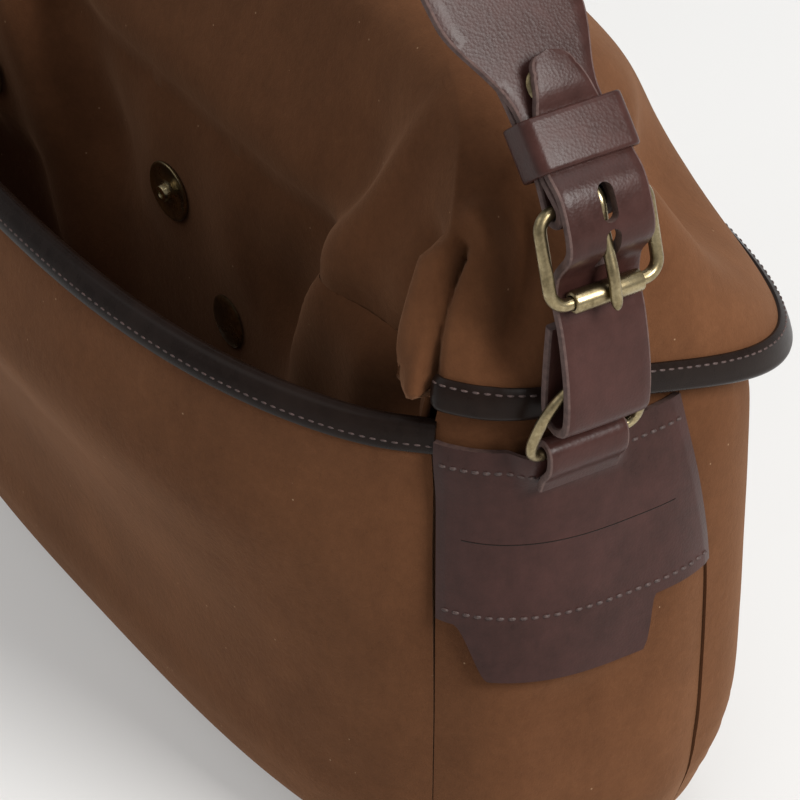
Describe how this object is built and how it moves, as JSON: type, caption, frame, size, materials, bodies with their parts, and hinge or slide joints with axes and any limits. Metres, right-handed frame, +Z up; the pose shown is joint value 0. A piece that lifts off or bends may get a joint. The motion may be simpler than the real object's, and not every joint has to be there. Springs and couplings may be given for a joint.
{
  "type": "musette bag",
  "caption": "Soft suede musette bag with a hooded front flap, a gaping bound pocket on the back, leather end patches with rings, and a buckled shoulder strap.",
  "frame": {"origin": "middle of the flat base, on the surface the bag stands on", "axes": "+Z up, +X along the bag's length towards one ring and buckle, -Y towards the open back pocket, +Y towards the front"},
  "size_m": [0.3796, 0.1752, 0.4126],
  "materials": {
    "suede": "soft napped suede",
    "binding_leather": "glossy smooth",
    "strap_leather": "waxed smooth",
    "aged_brass": "aged satin"
  },
  "bodies": {
    "root": {"base_panel": "suede", "front_panel": "suede", "pocket_panel": "suede", "hood_and_back_wall": "suede", "gusset_right": "suede", "gusset_left": "suede", "pocket_binding": "binding_leather", "flap_binding": "binding_leather", "shoulder_strap": "strap_leather", "patch_right": "strap_leather", "patch_left": "strap_leather", "ring_loop_right": "strap_leather", "ring_loop_left": "strap_leather", "ring_tab_right": "strap_leather", "ring_tab_left": "strap_leather", "keeper_right": "strap_leather", "keeper_left": "strap_leather", "d_ring_right": "aged_brass", "d_ring_left": "aged_brass", "buckle_frame_right": "aged_brass", "buckle_frame_left": "aged_brass", "roller_right": "aged_brass", "roller_left": "aged_brass", "prong_right": "aged_brass", "prong_left": "aged_brass", "rivet_right": "aged_brass", "rivet_left": "aged_brass", "magnet_stud": "aged_brass", "wall_disc_near": "aged_brass", "wall_disc_far": "aged_brass"}
  },
  "joints": []
}
